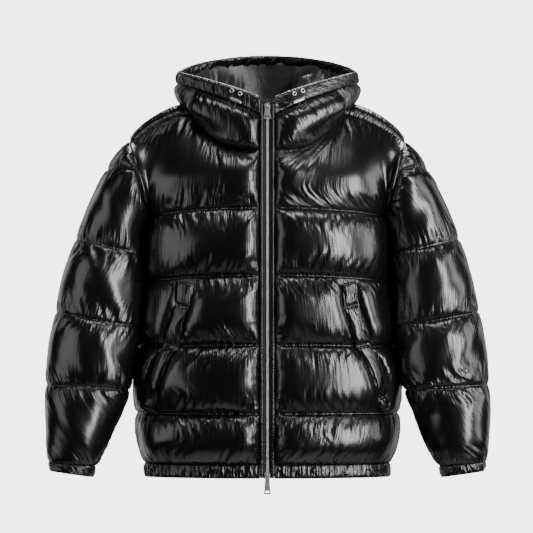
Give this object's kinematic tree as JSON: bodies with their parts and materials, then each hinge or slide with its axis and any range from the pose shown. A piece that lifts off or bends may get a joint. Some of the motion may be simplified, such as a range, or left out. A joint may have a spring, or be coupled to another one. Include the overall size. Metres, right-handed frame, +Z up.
{
  "type": "hooded puffer jacket",
  "caption": "Hooded quilted puffer jacket in its worn shape with no wearer, with a two-way zip, slanted pocket welts, gathered hem and cuffs.",
  "frame": {"origin": "middle of the neck at shoulder height, where a wearer's neck and shoulders hold the jacket up", "axes": "+Z up, -Y out of the front, +X to the wearer's left"},
  "size_m": [0.8308, 0.3345, 0.8223],
  "materials": {
    "shell": "glossy black down-proof nylon with a smooth coated face",
    "gathered_band": "glossy black nylon gathered on elastic",
    "zip_tape": "matt black woven tape",
    "zip_metal": "dark nickel plate, polished",
    "drawcord": "black elastic cord"
  },
  "bodies": {
    "jacket": {"front_right": "shell", "front_left": "shell", "back": "shell", "shoulder_strip_right": "shell", "shoulder_strip_left": "shell", "sleeve_right": "shell", "sleeve_left": "shell", "collar_right": "shell", "collar_left": "shell", "hood_side_right": "shell", "hood_side_left": "shell", "hood_center": "shell", "hood_rim": "shell", "pocket_welt_right": "shell", "pocket_welt_left": "shell", "zip_piping_right": "shell", "zip_piping_left": "shell", "cuff_right": "gathered_band", "cuff_left": "gathered_band", "hem_band": "gathered_band", "zip_tape_right": "zip_tape", "zip_tape_left": "zip_tape", "zip_chain": "zip_metal", "eyelet_1_right": "zip_metal", "eyelet_1_left": "zip_metal", "eyelet_2_right": "zip_metal", "eyelet_2_left": "zip_metal", "zip_slider_top": "zip_metal", "zip_slider_bottom": "zip_metal", "cord_lock_right": "zip_metal", "cord_lock_left": "zip_metal", "cord_loop_right": "drawcord", "cord_loop_left": "drawcord"},
    "pull_top": {"pull_tab_top": "zip_metal"},
    "pull_bottom": {"pull_tab_bottom": "zip_metal"}
  },
  "joints": [
    {"name": "top_pull_swing", "type": "hinge", "parent": "jacket", "child": "pull_top", "pos_m": [0, -0.10316, -0.006], "axis": [-1, 0, 0], "range_deg": [0, 170]},
    {"name": "bottom_pull_swing", "type": "hinge", "parent": "jacket", "child": "pull_bottom", "pos_m": [0, -0.11004, -0.692], "axis": [-1, 0, 0], "range_deg": [0, 170]}
  ]
}
